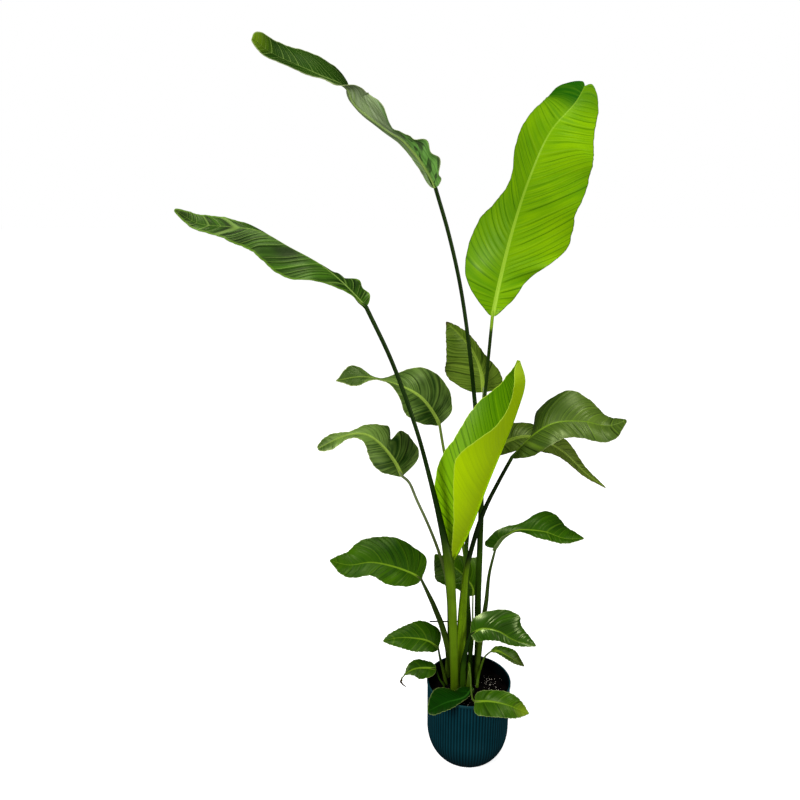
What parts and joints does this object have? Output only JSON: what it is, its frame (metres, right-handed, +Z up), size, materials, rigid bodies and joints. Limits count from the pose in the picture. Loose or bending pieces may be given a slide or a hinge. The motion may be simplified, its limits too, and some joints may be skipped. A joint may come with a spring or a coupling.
{
  "type": "potted bird of paradise",
  "caption": "Young giant bird of paradise with long stalked leaf blades, standing in soil in a ribbed round plastic pot.",
  "frame": {"origin": "centre of the pot's flat foot, on the floor", "axes": "+Z up along the plant, -Y the front that the picture shows, +X to the viewer's right"},
  "size_m": [1.0135, 0.3281, 1.8252],
  "materials": {
    "pot": "satin",
    "soil": "matte",
    "support": "satin",
    "stalk": "satin",
    "blade": "satin",
    "bright_blade": "satin"
  },
  "bodies": {
    "root": {"pot": "pot", "soil": "soil", "support": "support", "young_shoot": "stalk", "leaf_01_stalk": "stalk", "leaf_01_blade": "blade", "leaf_02_stalk": "stalk", "leaf_02_blade": "blade", "leaf_03_stalk": "stalk", "leaf_03_blade": "bright_blade", "leaf_04_stalk": "stalk", "leaf_04_blade": "bright_blade", "leaf_05_stalk": "stalk", "leaf_05_blade": "blade", "leaf_06_stalk": "stalk", "leaf_06_blade": "blade", "leaf_07_stalk": "stalk", "leaf_07_blade": "blade", "leaf_08_stalk": "stalk", "leaf_08_blade": "blade", "leaf_09_stalk": "stalk", "leaf_09_blade": "blade", "leaf_10_stalk": "stalk", "leaf_10_blade": "blade", "leaf_11_stalk": "stalk", "leaf_11_blade": "blade", "leaf_12_stalk": "stalk", "leaf_12_blade": "blade", "leaf_13_stalk": "stalk", "leaf_13_blade": "blade", "leaf_14_stalk": "stalk", "leaf_14_blade": "blade", "leaf_15_stalk": "stalk", "leaf_15_blade": "blade", "leaf_16_stalk": "stalk", "leaf_16_blade": "blade", "leaf_17_stalk": "stalk", "leaf_17_blade": "blade", "leaf_18_stalk": "stalk", "leaf_18_blade": "blade"}
  },
  "joints": []
}
